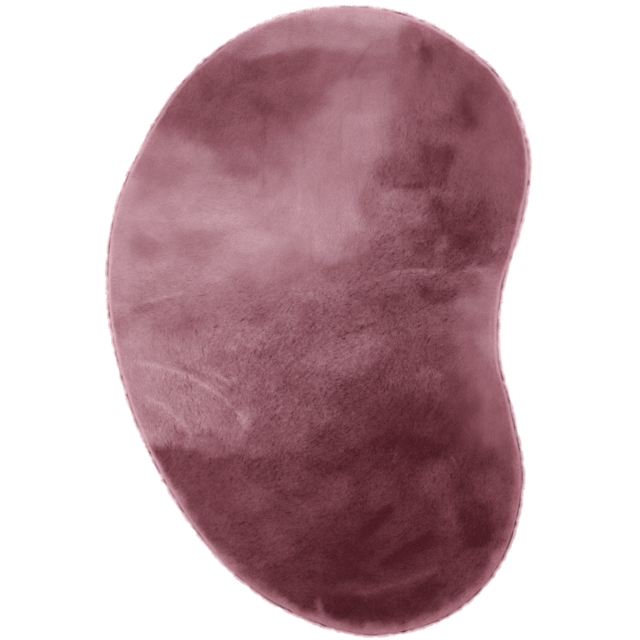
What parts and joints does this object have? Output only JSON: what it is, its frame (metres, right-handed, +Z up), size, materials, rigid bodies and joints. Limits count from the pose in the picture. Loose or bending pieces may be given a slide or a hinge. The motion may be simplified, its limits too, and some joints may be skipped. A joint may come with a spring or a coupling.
{
  "type": "bean shaped plush pile rug",
  "caption": "Flat one-piece floor rug with a free-form bean outline, a short dense plush pile that rolls over at the edge, and an overlocked yarn edge all the way round.",
  "frame": {"origin": "middle of the rug's box on its flat underside, which is the plane that it lies on", "axes": "+Z up out of the pile, +Y along the rug's length towards its wide end, +X across it towards the side with the hollow"},
  "size_m": [0.808, 1.1984, 0.014],
  "materials": {
    "pile": "dense plush faux fur pile, brushed both ways so that it shades from pale mauve to wine red",
    "edge_yarn": "soft spun overlock yarn, matt"
  },
  "bodies": {
    "root": {"pile_cloth": "pile", "overlock_edge": "edge_yarn"}
  },
  "joints": []
}
